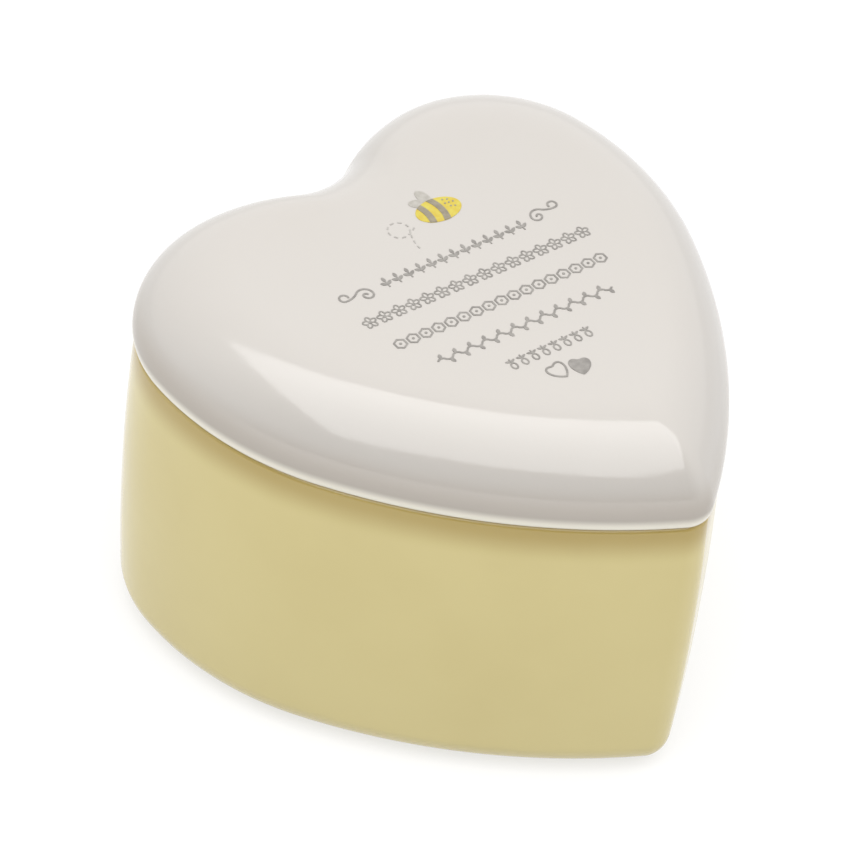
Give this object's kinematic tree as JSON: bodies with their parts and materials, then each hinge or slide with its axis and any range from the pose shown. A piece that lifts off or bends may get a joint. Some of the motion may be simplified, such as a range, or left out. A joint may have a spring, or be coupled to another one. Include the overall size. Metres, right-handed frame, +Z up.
{
  "type": "trinket box",
  "caption": "Heart-shaped glazed ceramic trinket box with a lift-off domed lid, a locating flange and a printed bee and ornament rows on the lid.",
  "frame": {"origin": "centre of the heart's bounding box, on the surface that the foot ring stands on", "axes": "+Z up, the way the lid lifts; -Y towards the heart's tip (the front), +Y towards its notch; the heart is symmetric about the YZ plane"},
  "size_m": [0.101, 0.102, 0.0757],
  "materials": {
    "yellow_glaze": "glossy",
    "cream_glaze": "glossy",
    "yellow_ink": "glossy",
    "grey_ink": "glossy",
    "pale_grey_ink": "glossy"
  },
  "bodies": {
    "base": {"box_base": "yellow_glaze"},
    "printed_lid": {"lid": "cream_glaze", "bee_body_print": "yellow_ink", "bee_stripes_print": "grey_ink", "bee_speckles_print": "grey_ink", "bee_wings_print": "pale_grey_ink", "flight_trail_print": "pale_grey_ink", "left_flourish_print": "grey_ink", "right_flourish_print": "grey_ink", "sprig_row_print": "grey_ink", "blossom_row_print": "grey_ink", "honeycomb_row_print": "grey_ink", "vine_row_print": "grey_ink", "bud_row_print": "grey_ink", "open_heart_print": "grey_ink", "solid_heart_print": "grey_ink"}
  },
  "joints": [
    {"name": "lid_lift", "type": "slide", "parent": "base", "child": "printed_lid", "axis": [0, 0, 1], "range_m": [0, 0.08]}
  ]
}
